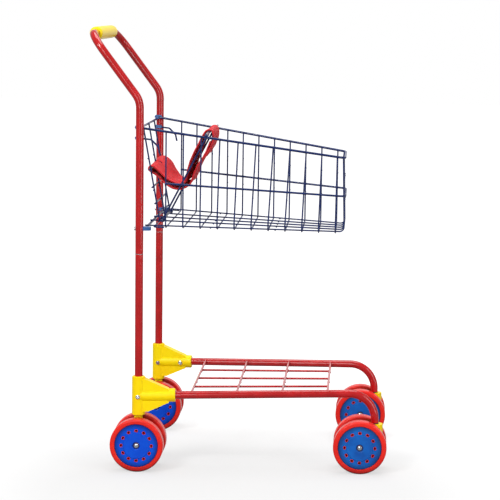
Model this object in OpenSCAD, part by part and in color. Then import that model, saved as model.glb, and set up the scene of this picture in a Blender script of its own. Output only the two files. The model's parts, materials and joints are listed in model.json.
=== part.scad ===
// Toy shopping cart: bent tube frame, wire basket with a folding doll seat,
// wire rack, twin rear wheels and twin-wheel swivel casters.
// Millimetres. +X is forward, +Z is up, Y = 0 is the middle of the cart,
// and the floor is Z = 0.

/* [Frame] */
// Height of the top of the grip above the floor
overall_h = 580; // [520:5:680]
// Distance between the two uprights, axis to axis
rear_track = 240; // [220:5:290]
// Distance between the two caster swivel axes
front_track = 201; // [180:5:236]
// Distance from the uprights to the caster swivel axes
swivel_reach = 312; // [290:5:390]
// Height of the chassis tube axes above the floor, at the uprights
chassis_h = 97.5; // [96:0.5:130]
// Rise of the chassis tubes from the uprights to the front bends
chassis_rise = 6.5; // [0:0.5:12]
// Outside diameter of every frame tube
tube_d = 10.5; // [9:0.5:13]
// Wall thickness of every frame tube
tube_wall = 1; // [0.8:0.1:1.6]
// Height of the joint between the handle tube and the lower uprights
seam_h = 286; // [200:1:296]
// Lean of the handle legs from upright, in degrees
leg_lean = 37; // [20:1:45]
// Distance the handle bar sits behind the uprights
handle_reach = 64; // [45:1:80]
// Centre-line radius of the bends in the handle tube
handle_bend_r = 30; // [22:1:36]
// Centre-line radius of the front bends in the chassis tubes
chassis_bend_r = 34; // [24:1:35]

/* [Grip] */
// Length of the moulded grip
grip_len = 150; // [90:5:160]
// Diameter of the moulded grip
grip_d = 17.5; // [15:0.5:24]

/* [Rear joints] */
// Outside diameter of the joint's sleeve and collar
sleeve_d = 17.5; // [16:0.5:22]
// Length of the joint's upright sleeve
sleeve_len = 51; // [44:1:60]
// Distance the collar reaches in front of the upright's axis
collar_reach = 48.5; // [44:0.5:60]
// Length of the plain collar in front of the web
collar_len = 8.5; // [5:0.5:12]
// Thickness of the web between sleeve and collar
web_t = 13; // [10:0.5:15]
// Distance of the collar screw in front of the upright's axis
collar_screw_x = 33; // [26:1:38]

/* [Wheels] */
// Diameter of every wheel
wheel_d = 70.5; // [60:0.5:74]
// Width of a wheel's tread
wheel_w = 16; // [12:1:20]
// Gap between the two wheels of a pair
wheel_gap = 20; // [18:1:26]
// Diameter of the wheel axles
axle_d = 4; // [3:0.5:6]
// Height of the tyre round the hub cap
tyre_h = 6.5; // [5:0.25:9]
// Number of oval windows in a hub cap
window_count = 12; // [6:1:14]
// Length of a window, round the wheel
window_l = 5; // [4:0.1:6.5]
// Width of a window, across the wheel
window_w = 4; // [3:0.1:4.5]
// Distance of the windows from the edge of the hub cap
window_inset = 8.75; // [7:0.25:10]
// Distance each caster axle trails behind its swivel axis
caster_trail = 19; // [14:1:24]
// Length of a caster housing's top along the cart
caster_len = 21.5; // [18:0.5:26]
// Diameter of the caster stems
stem_d = 6; // [5:0.5:7]

/* [Basket] */
// Distance from the uprights to the front of the rim
basket_len = 266; // [240:2:300]
// Width of the rim at the front
basket_front_w = 112; // [100:2:150]
// Height of the rim at the uprights
rim_rear_h = 450.5; // [430:0.5:465]
// Height of the rim at the front
rim_front_h = 411; // [380:1:440]
// Height of the middle rail, carried back to the uprights
rail_rear_h = 380; // [360:1:400]
// Height of the middle rail at the front
rail_front_h = 360; // [340:1:380]
// Height of the basket floor, carried back to the uprights
floor_rear_h = 320.5; // [310:0.5:330]
// Height of the basket floor at the front
floor_front_h = 310; // [300:1:330]
// Diameter of the rim wire
rim_d = 3.2; // [2.5:0.1:4]
// Diameter of the middle rail
rail_d = 2.8; // [2:0.1:3.6]
// Diameter of the thin basket wires
wire_d = 2; // [1.6:0.1:2.6]
// Number of hoops along the basket
hoop_count = 11; // [7:1:13]
// Distance of the first hoop in front of the uprights
first_hoop_x = 32.5; // [30:0.5:40]
// Radius of the small bends in the basket wires
wire_bend_r = 6; // [4:0.5:9]
// Most that the right-hand side wires lean forward at the rim
side_lean = 5.5; // [0:0.5:8]
// Distance that the front wall leans out at its foot
front_kick = 2.5; // [0:0.5:6]

/* [Doll seat] */
// Width of the gate, between its outer wires
gate_w = 128; // [110:2:150]
// Distance of the seat hinge in front of the uprights
vertex_x = 23; // [22:0.5:26]
// Distance of the seat back's top rod in front of the uprights
seat_rod_x = 84; // [76:1:95]
// Width of the seat back, between its side wires
seat_w = 98; // [84:2:106]
// Height of the gate rung that carries the sling, above the hinge
sling_rung_h = 70; // [60:1:80]
// Width of the fabric sling
sling_w = 92; // [60:2:94]
// Thickness of the fabric sling
sling_t = 1.6; // [1.2:0.1:2.5]

/* [Rack] */
// Distance of the first rack wire in front of the uprights
rack_start = 69; // [60:1:90]
// Distance between the cross wires of the rack
rack_pitch = 60; // [50:1:64]
// Diameter of the rack wires
rack_wire_d = 3; // [2:0.1:4]
// Height of the cross wires above the chassis tube axes
rack_rise = 2; // [0:0.5:3.5]

/* [Fits] */
// Radial clearance of parts that turn
running_gap = 0.05; // [0.02:0.01:0.1]
// Radial clearance of parts that are pushed together and stay
seat_gap = 0.05; // [0.03:0.01:0.2]
// Clearance between moving parts that only pass each other
free_gap = 0.4; // [0.3:0.1:1]
// Depth to which two crossing wires sink together at a weld
weld = 0.15; // [0.1:0.05:0.3]

/* [Hidden] */
$fn = 48;

tube_r = tube_d / 2;
wheel_r = wheel_d / 2;
cap_r = wheel_r - tyre_h;
window_r = cap_r - window_inset;
axle_r = axle_d / 2;
rim_r = rim_d / 2;
rail_r = rail_d / 2;
wire_r = wire_d / 2;
rack_wire_r = rack_wire_d / 2;

// Places along the cart. The origin is in the middle of the overall length,
// which runs from the back of the grip to the front of the front wheels.
tail_reach = max(handle_reach + grip_d / 2, wheel_r);
wheelbase = swivel_reach - caster_trail;
upright_x = -(wheelbase + wheel_r - tail_reach) / 2;
swivel_x = upright_x + swivel_reach;
front_axle_x = upright_x + wheelbase;
rear_y = rear_track / 2;
front_y = front_track / 2;
toe = atan((rear_y - front_y) / swivel_reach);
chassis_reach = norm([swivel_reach, rear_y - front_y]);
slope = atan(chassis_rise / chassis_reach);
handle_h = overall_h - grip_d / 2;
bend_h = handle_h - handle_reach / tan(leg_lean);

// Wheels
pair_y = (wheel_gap + wheel_w) / 2;
lug_w = wheel_gap - 3;
lug_r = 8;
lug_neck = 10;
lug_neck_w = lug_w - 8;
wheel_end = wheel_w / 2;
web_face = wheel_end - 5;
cap_seat = wheel_end - 3;
cap_t = 2;
dome_r = 3.2;
cap_hole_r = 3.8;
hub_hole_r = 4.8;
hub_r = 6.5;
boss_end = -(wheel_end + (wheel_gap - lug_w) / 2 - free_gap);
axle_half = pair_y + cap_seat + free_gap + 1.2;

// Rear joints
sleeve_r = sleeve_d / 2;
sleeve_z = wheel_d + 2.2;
sleeve_top = sleeve_z + sleeve_len;
upright_foot = sleeve_z + 4;
screw_r = 1.5;
screw_head_r = 3;
nut_r = 3;
joint_screw_h = chassis_h - 0.5;
collar_r = sleeve_r + 0.25;
chassis_start = tube_r + 1.5;
boss_r = 3.8;
boss_rise = 0.4;

// Casters
bend_top = chassis_h + chassis_rise;
housing_top = bend_top - chassis_bend_r - 6.7;
barrel_h = 17;
plug_flange = 1;
plug_len = 5;
tube_foot = housing_top + free_gap + plug_flange;
stem_r = stem_d / 2;
stem_ring_h = 2;
stem_ring_r = stem_r + 0.7;
stem_foot = housing_top - barrel_h - 2;
caster_web_w = lug_w - 4;

// Basket: every wire layer is placed from the rim's centre line
hug_gap = 0.3;
rim_rear_y = rear_y - tube_r - rim_r - hug_gap;
rim_front_y = basket_front_w / 2;
side_inset = rim_r + wire_r - weld;
rail_inset = side_inset - rail_r - wire_r + weld;
front_x = basket_len - side_inset;
foot_x = front_x + front_kick;
floor_rear_x = vertex_x - 6;
hoop_pitch = (front_x - first_hoop_x - 9) / (hoop_count - 1);
upstand = wire_bend_r + 2;
bar_r = 1.75;
bar_x = tube_r + bar_r + 0.2;
clip_half_h = 2.4;
clip_reach = 15;
clip_wall = 1;
clip_front = 3.4;
wire_tail = 6;
hook_h = rim_rear_h - 13;
clip_screw_r = 1.4;
hook_r = 1.2;
hook_y = rear_y - tube_r - hook_r - hug_gap;
hook_points = [[-wire_tail, -hook_y, hook_h], [14, -hook_y, hook_h - 2],
    [23, 1 - hook_y, hook_h - 11], [25, 1.5 - hook_y, hook_h - 20]];

// Rings that cover the seams of a bent wire
seam_l = 0.2;
seam_step = 0.02;

function mix(a, b, t) = a + (b - a) * t;
// Half width of the rim, and heights of rim, rail and floor, at x from the uprights
function side_y(x) = mix(rim_rear_y, rim_front_y, x / basket_len);
function rim_z(x) = mix(rim_rear_h, rim_front_h, x / basket_len);
function rail_z(x) = mix(rail_rear_h, rail_front_h, x / basket_len);
function floor_z(x) = mix(floor_rear_h, floor_front_h, x / basket_len);
function hoop_x(i) = first_hoop_x + i * hoop_pitch;
function hoop_y(x) = side_y(x) - side_inset;
// Forward lean at the rim: the right-hand wires from the second hoop on, most at the middle
lean_start = first_hoop_x + 1.6 * hoop_pitch;
function lean(side, x) = side > 0 || x < lean_start ? 0
    : side_lean * sin(180 * (x - lean_start) / (basket_len - lean_start));
// Long floor wires lie on the cross wires
function long_y(x) = hoop_y(x) - wire_bend_r;
function long_z(x) = floor_z(x) + wire_d - weld;
function chassis_y(x) = mix(rear_y, front_y, x / swivel_reach);
function chassis_z(x) = chassis_h + chassis_rise * x / swivel_reach;
bar_h = long_z(bar_x) - wire_r - bar_r + weld;
// Distance of long wire number lane (-2 to 2) from the middle: the inner ones clear the seat's eyes
inner_rear_y = seat_w / 2 - 5;
inner_front_y = long_y(foot_x) / 2;
function lane_y(lane, x) = sign(lane) * (abs(lane) == 2 ? long_y(x) : abs(lane) == 1
    ? mix(inner_rear_y, inner_front_y, x / foot_x) : 0);

// Doll seat: the gate's wires stand behind the hinge rod and in front of the top rod
hinge_r = 1.5;
gate_wire_r = 1.1;
rung_r = 1.2;
seat_wire_r = 1.3;
seat_rod_r = 1.5;
eye_wall = 2;
vertex_z = long_z(vertex_x) + wire_r + hinge_r - weld;
gate_rod_x = -4.5;
gate_rod_z = rim_z(gate_rod_x) - rim_r - hinge_r + weld;
wire_back = hinge_r + gate_wire_r - weld;
rung_back = wire_back + gate_wire_r + rung_r - weld;
gate_span = norm([vertex_x - gate_rod_x, gate_rod_z - vertex_z]);
gate_lean = atan((vertex_x - gate_rod_x) / (gate_rod_z - vertex_z)) - asin(2 * wire_back / gate_span);
gate_len = gate_span + 1;
rung_heights = [7, 24, 46, sling_rung_h];
seat_rod_z = rim_z(seat_rod_x) + rim_r + seat_rod_r + free_gap;
seat_lean = atan((seat_rod_x - vertex_x) / (seat_rod_z - vertex_z));
seat_len = norm([seat_rod_x - vertex_x, seat_rod_z - vertex_z]);

// ---------- Shared shapes ----------

function unit(v) = v / norm(v);
function turn(u, v) = acos(max(-1, min(1, u * v)));

// Straight round bar from a to b
module bar(a, b, r) {
    d = unit(b - a);
    side = abs(d.z) < 0.9 ? unit(cross([0, 0, 1], d)) : unit(cross([1, 0, 0], d));
    up = cross(d, side);
    multmatrix([[side.x, up.x, d.x, a.x], [side.y, up.y, d.y, a.y], [side.z, up.z, d.z, a.z]])
        cylinder(h = norm(b - a), r = r);
}

// Round bend of centre-line radius bend_r at corner p, between directions u and v
module bend(p, u, v, bend_r, r) {
    angle = turn(u, v);
    start = p - u * bend_r * tan(angle / 2);
    to_centre = unit(v - u * (u * v));
    centre = start + to_centre * bend_r;
    x_dir = -to_centre;
    z_dir = cross(x_dir, u);
    multmatrix([[x_dir.x, u.x, z_dir.x, centre.x], [x_dir.y, u.y, z_dir.y, centre.y],
        [x_dir.z, u.z, z_dir.z, centre.z]])
        rotate_extrude(angle = angle) translate([bend_r, 0]) circle(r = r);
}

// Round wire through the points, with a bend of the given radius at each corner
module wire(points, bends, r) {
    last = len(points) - 1;
    dirs = [for (i = [0:last - 1]) unit(points[i + 1] - points[i])];
    trims = [for (i = [0:last]) i == 0 || i == last ? 0
        : bends[i - 1] * tan(turn(dirs[i - 1], dirs[i]) / 2)];
    for (i = [0:last - 1])
        bar(points[i] + dirs[i] * trims[i], points[i + 1] - dirs[i] * trims[i + 1], r);
    for (i = [1:last - 1]) {
        bend(points[i], dirs[i - 1], dirs[i], bends[i - 1], r);
        // Fine rings over the seams between straight runs and bends
        for (d = [-dirs[i - 1], dirs[i]])
            bar(points[i] + d * (trims[i] - seam_l), points[i] + d * (trims[i] + seam_l), r + seam_step);
    }
}

// Hollow round tube along the same kind of route, open at both ends
module tube(points, bends) {
    last = len(points) - 1;
    head = points[0] - unit(points[1] - points[0]);
    foot = points[last] + unit(points[last] - points[last - 1]);
    inner = [for (i = [0:last]) i == 0 ? head : i == last ? foot : points[i]];
    difference() {
        wire(points, bends, tube_r);
        wire(inner, bends, tube_r - tube_wall);
    }
}

module along_y(h, r) {
    rotate([-90, 0, 0]) cylinder(h = h, r = r, center = true);
}

// Groove where the ends of the handle tube and the lower uprights are rolled in
module seam_groove() {
    rotate_extrude() polygon([[tube_r - 0.6, 0], [tube_r + 1, -2], [tube_r + 1, 2]]);
}

// Moves into the frame that starts at the uprights
module from_uprights() {
    translate([upright_x, 0, 0]) children();
}

// ---------- Handle and uprights ----------

module handle_tube() {
    color("firebrick") from_uprights() difference() {
        union() {
            tube([[0, -rear_y, seam_h], [0, -rear_y, bend_h],
                [-handle_reach, -rear_y, handle_h], [-handle_reach, rear_y, handle_h],
                [0, rear_y, bend_h], [0, rear_y, seam_h]],
                [handle_bend_r, handle_bend_r, handle_bend_r, handle_bend_r]);
            // Reduced ends that slide into the lower uprights
            for (side = [-1, 1]) translate([0, side * rear_y, seam_h - 22]) difference() {
                union() {
                    cylinder(h = 26, r = tube_r - tube_wall - seat_gap);
                    translate([0, 0, 22.5]) cylinder(h = 3, r = tube_r - tube_wall / 2);
                }
                translate([0, 0, -1]) cylinder(h = 30, r = tube_r - 2 * tube_wall);
            }
        }
        for (side = [-1, 1]) {
            bar([-tube_d, side * rear_y, bar_h], [tube_d, side * rear_y, bar_h], clip_screw_r + seat_gap);
            translate([0, side * rear_y, seam_h]) seam_groove();
        }
    }
}

module handle_grip() {
    lip = 3;
    color("gold") from_uprights() translate([-handle_reach, 0, handle_h]) rotate([-90, 0, 0])
        rotate_extrude() polygon([
            [tube_r + seat_gap, -grip_len / 2], [grip_d / 2 - lip, -grip_len / 2],
            for (a = [15:15:75]) [grip_d / 2 - lip + lip * sin(a), -grip_len / 2 + lip - lip * cos(a)],
            [grip_d / 2, -grip_len / 2 + lip], [grip_d / 2, grip_len / 2 - lip],
            for (a = [75:-15:15]) [grip_d / 2 - lip + lip * sin(a), grip_len / 2 - lip + lip * cos(a)],
            [grip_d / 2 - lip, grip_len / 2], [tube_r + seat_gap, grip_len / 2]]);
}

module upright(side) {
    color("firebrick") from_uprights() translate([0, side * rear_y, 0]) difference() {
        translate([0, 0, upright_foot]) cylinder(h = seam_h - upright_foot, r = tube_r);
        translate([0, 0, upright_foot - 1])
            cylinder(h = seam_h - upright_foot + 2, r = tube_r - tube_wall);
        translate([0, 0, joint_screw_h]) along_y(tube_d + 2, screw_r + seat_gap);
        translate([0, 0, seam_h]) seam_groove();
    }
}

// ---------- Rear joints ----------

// Places its children at the foot of the upright on that side
module at_upright(side) {
    from_uprights() translate([0, side * rear_y, 0]) children();
}

// Turns +X to the same side as the chassis tube, still level
module toed(side) {
    rotate([0, 0, -side * toe]) children();
}

// Turns +X along the chassis tube, about the point where its axis meets the upright's
module along_tube(side) {
    toed(side) translate([0, 0, chassis_h]) rotate([0, -slope, 0]) translate([0, 0, -chassis_h]) children();
}

module rear_joint(side) {
    web_h = sleeve_len - 6;
    color("gold") at_upright(side) difference() {
        union() {
            translate([0, 0, sleeve_z]) cylinder(h = sleeve_len - 0.8, r = sleeve_r);
            translate([0, 0, sleeve_top - 0.8]) cylinder(h = 0.8, r1 = sleeve_r, r2 = sleeve_r - 0.8);
            along_tube(side) {
                translate([0, 0, chassis_h]) rotate([0, 90, 0])
                    cylinder(h = collar_reach - 0.6, r = collar_r);
                translate([collar_reach - 0.6, 0, chassis_h]) rotate([0, 90, 0])
                    cylinder(h = 0.6, r1 = collar_r, r2 = collar_r - 0.6);
                // Web that tapers from the sleeve to the collar
                translate([0, web_t / 2, 0]) rotate([90, 0, 0]) linear_extrude(web_t) polygon([
                    [0, sleeve_z + 4], [sleeve_r + 3.5, sleeve_z + 4],
                    [collar_reach - collar_len, chassis_h - collar_r],
                    [collar_reach - collar_len, chassis_h + collar_r],
                    [sleeve_r, sleeve_z + web_h + 3], [0, sleeve_z + web_h + 3]]);
                // Flat seat for the collar screw, on the inner face
                translate([collar_screw_x, 0, joint_screw_h]) rotate([side * 90, 0, 0])
                    cylinder(h = collar_r + boss_rise, r = boss_r);
            }
            // Flat seats for the sleeve screw and its nut
            translate([0, 0, joint_screw_h]) along_y(2 * (sleeve_r + boss_rise), boss_r);
            // Lug that goes down between the wheels
            translate([0, 0, wheel_r]) along_y(lug_w, lug_r);
            translate([-lug_neck / 2, -lug_neck_w / 2, wheel_r])
                cube([lug_neck, lug_neck_w, sleeve_z - wheel_r + 1]);
        }
        translate([0, 0, upright_foot]) cylinder(h = sleeve_len, r = tube_r + seat_gap);
        translate([0, 0, wheel_r]) along_y(lug_w + 2, axle_r + seat_gap);
        translate([0, 0, joint_screw_h]) along_y(sleeve_d + 4, screw_r + seat_gap);
        along_tube(side) {
            translate([chassis_start, 0, chassis_h]) rotate([0, 90, 0])
                cylinder(h = collar_reach, r = tube_r + seat_gap);
            translate([collar_screw_x, 0, joint_screw_h]) rotate([side * 90, 0, 0])
                translate([0, 0, -collar_r + 1]) cylinder(h = 2 * collar_r + 2, r = screw_r + seat_gap);
        }
    }
}

// Pan-head screw with a cross recess: the head's seat is Z = 0, the shank points down
module screw(shank_len, shank_r, head_r) {
    head_h = 0.6 * head_r;
    difference() {
        union() {
            translate([0, 0, -shank_len]) cylinder(h = shank_len + 0.1, r = shank_r);
            rotate_extrude() polygon([[0, 0], [head_r, 0],
                for (a = [10:20:90]) [head_r * cos(a), head_h * (0.3 + 0.7 * sin(a))]]);
        }
        for (turn = [0, 90]) rotate([0, 0, turn])
            translate([-head_r * 0.55, -0.4, head_h * 0.45]) cube([head_r * 1.1, 0.8, head_h]);
    }
}

module joint_screws() {
    color("silver") for (side = [-1, 1]) at_upright(side) {
        // Through the sleeve and the upright, head outside
        translate([0, side * (sleeve_r + boss_rise), joint_screw_h]) rotate([-side * 90, 0, 0])
            screw(sleeve_d + 2 * boss_rise + 3.4, screw_r, screw_head_r);
        // Into the collar and the chassis tube, head inside
        along_tube(side) translate([collar_screw_x, -side * (collar_r + boss_rise), joint_screw_h])
            rotate([side * 90, 0, 0])
                screw(2 * collar_r + boss_rise - 1.5, screw_r, screw_head_r);
    }
}

module joint_nuts() {
    color("silver") for (side = [-1, 1]) at_upright(side)
        translate([0, -side * (sleeve_r + boss_rise), joint_screw_h]) rotate([side * 90, 0, 0])
            difference() {
                cylinder(h = 2.2, r = nut_r, $fn = 6);
                translate([0, 0, -1]) cylinder(h = 5, r = screw_r + seat_gap);
            }
}

// ---------- Chassis and rack ----------

module chassis_tube(side) {
    start = chassis_start + 0.3;
    color("firebrick") at_upright(side) difference() {
        toed(side) tube([[start * cos(slope), 0, chassis_h + start * sin(slope)],
            [chassis_reach, 0, bend_top], [chassis_reach, 0, tube_foot]], [chassis_bend_r]);
        along_tube(side) translate([collar_screw_x, 0, joint_screw_h])
            along_y(tube_d + 2, screw_r + seat_gap);
    }
}

function rack_x(i) = rack_start + i * rack_pitch;
function rack_z(x) = chassis_z(x) + rack_rise;
rack_touch = sqrt(pow(tube_r, 2) - pow(rack_rise, 2)) - weld;

module rack_cross_wires() {
    color("firebrick") from_uprights() for (i = [0:3]) {
        end_y = chassis_y(rack_x(i)) - rack_touch;
        bar([rack_x(i), -end_y, rack_z(rack_x(i))], [rack_x(i), end_y, rack_z(rack_x(i))], rack_wire_r);
    }
}

// Long wires, under the cross wires
module rack_long_wires() {
    drop = rack_wire_d - weld;
    first = rack_x(0) - 1;
    last = rack_x(3) + 1;
    color("firebrick") from_uprights() for (lane = [-0.5, 0, 0.5])
        bar([first, lane * chassis_y(first), rack_z(first) - drop],
            [last, lane * chassis_y(last), rack_z(last) - drop], rack_wire_r);
}

// ---------- Casters ----------

module at_swivel(side) {
    translate([swivel_x, side * front_y, 0]) children();
}

module caster_plugs() {
    color("dimgray") for (side = [-1, 1]) at_swivel(side) difference() {
        union() {
            translate([0, 0, tube_foot - plug_flange]) cylinder(h = plug_flange, r = tube_r);
            translate([0, 0, tube_foot - 0.5])
                cylinder(h = plug_len + 0.5, r = tube_r - tube_wall - seat_gap);
        }
        translate([0, 0, tube_foot - 2]) cylinder(h = plug_len + 4, r = stem_r + seat_gap);
    }
}

module caster_stems() {
    color("silver") for (side = [-1, 1]) at_swivel(side) {
        translate([0, 0, stem_foot]) cylinder(h = tube_foot + plug_len - stem_foot, r = stem_r);
        translate([0, 0, stem_foot]) cylinder(h = stem_ring_h, r = stem_ring_r);
    }
}

module caster_housing(side) {
    half = caster_len / 2;
    barrel_foot = housing_top - barrel_h;
    color("gold") at_swivel(side) difference() {
        union() {
            intersection() {
                translate([0, 0, barrel_foot - 4]) cylinder(h = barrel_h + 4, r = half);
                translate([-half, -lug_w / 2, 0]) cube([caster_len, lug_w, housing_top]);
            }
            // Body that runs back and down to the axle
            translate([0, caster_web_w / 2, 0]) rotate([90, 0, 0]) linear_extrude(caster_web_w)
                polygon([[-half - 1, housing_top - 2], [half - 3, housing_top - 2],
                    [half - 3, barrel_foot - 3],
                    [-caster_trail + (lug_r - 0.5) * cos(60), wheel_r - (lug_r - 0.5) * sin(60)],
                    [-caster_trail - (lug_r - 0.5) * cos(25), wheel_r + (lug_r - 0.5) * sin(25)]]);
            translate([-caster_trail, 0, wheel_r]) along_y(lug_w, lug_r);
        }
        translate([0, 0, stem_foot + stem_ring_h]) cylinder(h = 40, r = stem_r + running_gap);
        translate([0, 0, stem_foot - free_gap])
            cylinder(h = stem_ring_h + 2 * free_gap, r = stem_ring_r + running_gap);
        translate([-caster_trail, 0, wheel_r]) along_y(lug_w + 2, axle_r + seat_gap);
    }
}

// ---------- Wheels ----------

// Places its children at the axle of the pair on that side
module at_axle(front, side) {
    x = front ? front_axle_x : upright_x;
    y = front ? front_y : rear_y;
    translate([x, side * y, wheel_r]) children();
}

// Moves to one wheel of the pair, with +Z along the axle, away from the lug
module at_wheel(front, side, out) {
    at_axle(front, side) translate([0, out * pair_y, 0]) rotate([-out * 90, 0, 0]) children();
}

module axle(front, side) {
    color("silver") at_axle(front, side) along_y(2 * axle_half, axle_r);
}

module axle_caps(front, side) {
    seat = cap_seat + free_gap;
    color("silver") for (out = [-1, 1]) at_wheel(front, side, out) difference() {
        rotate_extrude() polygon([[0, seat], [dome_r, seat],
            for (a = [0:15:90]) [dome_r * cos(a), seat + 1.1 + 1.2 * sin(a)]]);
        cylinder(h = seat + 1.3, r = axle_r + seat_gap);
    }
}

// Oval post or hole: l long round the wheel, w wide, standing on Z = 0
module oval(l, w, h) {
    for (end = [-1, 1]) translate([0, end * (l - w) / 2, 0]) cylinder(h = h, r = w / 2, $fn = 24);
    translate([-w / 2, -(l - w) / 2, 0]) cube([w, l - w, h]);
}

module around_windows() {
    for (i = [0:window_count - 1]) rotate([0, 0, i * 360 / window_count])
        translate([window_r, 0, 0]) children();
}

module wheel(front, side, out) {
    shoulder = 2.5;
    web_back = -1;
    bead_r = cap_r - 2;
    color("red") at_wheel(front, side, out) difference() {
        union() {
            rotate_extrude($fn = 96) polygon([
                [axle_r + running_gap, boss_end], [hub_r - 1, boss_end], [hub_r, web_back],
                [bead_r, web_back], [bead_r, -wheel_end + 1], [bead_r + 1, -wheel_end],
                for (a = [-90:15:0]) [wheel_r - shoulder + shoulder * cos(a),
                    -wheel_end + shoulder + shoulder * sin(a)],
                for (a = [0:15:90]) [wheel_r - shoulder + shoulder * cos(a),
                    wheel_end - shoulder + shoulder * sin(a)],
                [cap_r + 0.8, wheel_end], [cap_r + seat_gap, wheel_end - 0.7],
                [cap_r + seat_gap, cap_seat], [bead_r, cap_seat], [bead_r, web_face],
                [hub_r, web_face], [hub_r - 0.5, cap_seat], [axle_r + running_gap, cap_seat]]);
            around_windows() translate([0, 0, web_face - 0.5])
                oval(window_l - 0.5, window_w - 0.5, cap_seat + cap_t - web_face + 0.7);
        }
        around_windows() translate([0, 0, web_face + 0.5])
            oval(window_l - 1.7, window_w - 1.7, 10);
    }
}

module hub_cap(front, side, out) {
    disc_r = window_r - 3;
    color("royalblue") at_wheel(front, side, out) difference() {
        rotate_extrude($fn = 96) polygon([
            [cap_hole_r, cap_seat], [cap_r, cap_seat], [cap_r, cap_seat + cap_t - 0.5],
            [cap_r - 0.5, cap_seat + cap_t], [disc_r + 0.6, cap_seat + cap_t],
            [disc_r, cap_seat + cap_t + 0.6], [hub_hole_r + 0.8, cap_seat + cap_t + 0.6],
            [hub_hole_r, cap_seat + cap_t + 0.2], [hub_hole_r, cap_seat + 0.8],
            [cap_hole_r, cap_seat + 0.8]]);
        around_windows() oval(window_l, window_w, 20);
    }
}

// ---------- Basket ----------

module basket_rim() {
    color("navy") from_uprights() wire([
        [-wire_tail, -side_y(-wire_tail), rim_z(-wire_tail)],
        [basket_len, -side_y(basket_len), rim_front_h], [basket_len, side_y(basket_len), rim_front_h],
        [-wire_tail, side_y(-wire_tail), rim_z(-wire_tail)]],
        [2 * wire_bend_r, 2 * wire_bend_r], rim_r);
}

module basket_rail() {
    start = first_hoop_x - wire_r;
    kick = front_kick * (rim_front_h - rail_front_h) / (rim_front_h - floor_front_h - upstand);
    end = basket_len - rail_inset + kick;
    color("navy") from_uprights() wire([
        [start, -side_y(start) + rail_inset, rail_z(start)],
        [end, -side_y(end) + rail_inset, rail_z(end)],
        [end, side_y(end) - rail_inset, rail_z(end)],
        [start, side_y(start) - rail_inset, rail_z(start)]],
        [2 * wire_bend_r, 2 * wire_bend_r], rail_r);
}

// Upright part of every hoop on one side
module side_wires(side) {
    color("navy") from_uprights() for (i = [0:hoop_count - 1]) {
        x = hoop_x(i);
        top = x + lean(side, x);
        bar([x, side * hoop_y(x), floor_z(x) + upstand], [top, side * hoop_y(top), rim_z(top)], wire_r);
    }
}

// Floor part of every hoop, with its two bends
module floor_cross_wires() {
    color("navy") from_uprights() for (i = [0:hoop_count - 1]) {
        x = hoop_x(i);
        y = hoop_y(x);
        z = floor_z(x);
        wire([[x, -y, z + upstand], [x, -y, z], [x, y, z], [x, y, z + upstand]],
            [wire_bend_r, wire_bend_r], wire_r);
    }
}

module floor_long_wires() {
    rear = bar_x - bar_r;
    color("navy") from_uprights() for (lane = [-2:2])
        wire([[rear, lane_y(lane, rear), long_z(rear)], [foot_x, lane_y(lane, foot_x), long_z(foot_x)],
            [foot_x, lane_y(lane, foot_x), long_z(foot_x) + upstand]], [wire_bend_r], wire_r);
}

// Rear cross wire with rounded corners, under the long wires
module floor_rear_loop() {
    tip = first_hoop_x - wire_r - 1;
    outset = 3;
    color("navy") from_uprights() wire([
        [tip, -long_y(tip) - outset, floor_z(tip)],
        [floor_rear_x, -long_y(floor_rear_x) - outset, floor_z(floor_rear_x)],
        [floor_rear_x, long_y(floor_rear_x) + outset, floor_z(floor_rear_x)],
        [tip, long_y(tip) + outset, floor_z(tip)]], [wire_bend_r - 1, wire_bend_r - 1], wire_r);
}

// Front part of the long wires, up to the rim
module front_wires() {
    color("navy") from_uprights() for (lane = [-2:2])
        bar([foot_x, lane_y(lane, foot_x), long_z(foot_x) + upstand],
            [front_x, lane_y(lane, foot_x), rim_z(front_x)], wire_r);
}

module lower_bar() {
    end_y = rear_y - 3;
    color("navy") from_uprights() bar([bar_x, -end_y, bar_h], [bar_x, end_y, bar_h], bar_r);
}

// Blocks that hold the lower bar's ends to the uprights, with a round front
module bar_clips() {
    outer = 2.6;
    inner = 8;
    mid = (inner - outer) / 2;
    half_w = (inner + outer) / 2;
    color("navy") for (side = [-1, 1]) at_upright(side) translate([0, 0, bar_h]) difference() {
        translate([0, -side * mid, -clip_half_h]) union() {
            translate([0, -half_w, 0]) cube([clip_reach - half_w, 2 * half_w, 2 * clip_half_h]);
            translate([clip_reach - half_w, 0, 0]) cylinder(h = 2 * clip_half_h, r = half_w);
        }
        translate([0, 0, -10]) cylinder(h = 20, r = tube_r + seat_gap);
        translate([bar_x, -side * 10, 0]) rotate([-side * 90, 0, 0])
            cylinder(h = 7 + seat_gap, r = bar_r + seat_gap);
        bar([0, 0, 0], [13, 0, 0], clip_screw_r + seat_gap);
    }
}

// Moulded sleeves that hold the ends of the rim and of the hooks against the uprights
module end_clips() {
    rim_start = [-wire_tail, -side_y(-wire_tail), rim_z(-wire_tail)];
    color("navy") for (side = [-1, 1]) {
        end_clip(side, rim_r, rim_start, [20, -side_y(20), rim_z(20)]);
        end_clip(side, hook_r, hook_points[0], hook_points[1]);
    }
}

// Sleeve on a wire of radius r that starts at a and runs to b, both on the right-hand side
module end_clip(side, r, a, b) {
    inner = rear_y + a.y + r + clip_wall;
    outer = 2;
    back = wire_tail + clip_wall;
    mirrored(side) difference() {
        translate([(clip_front - back) / 2, -rear_y + outer, a.z]) rotate([-90, 0, 0]) rotate([0, 0, 90])
            oval(back + clip_front, 2 * (r + clip_wall), inner - outer);
        translate([0, -rear_y, a.z - 10]) cylinder(h = 20, r = tube_r + seat_gap);
        bar(a, b, r + seat_gap);
        bar([gate_rod_x, -rear_y, gate_rod_z], [gate_rod_x, 0, gate_rod_z], hinge_r + seat_gap);
    }
}

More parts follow.
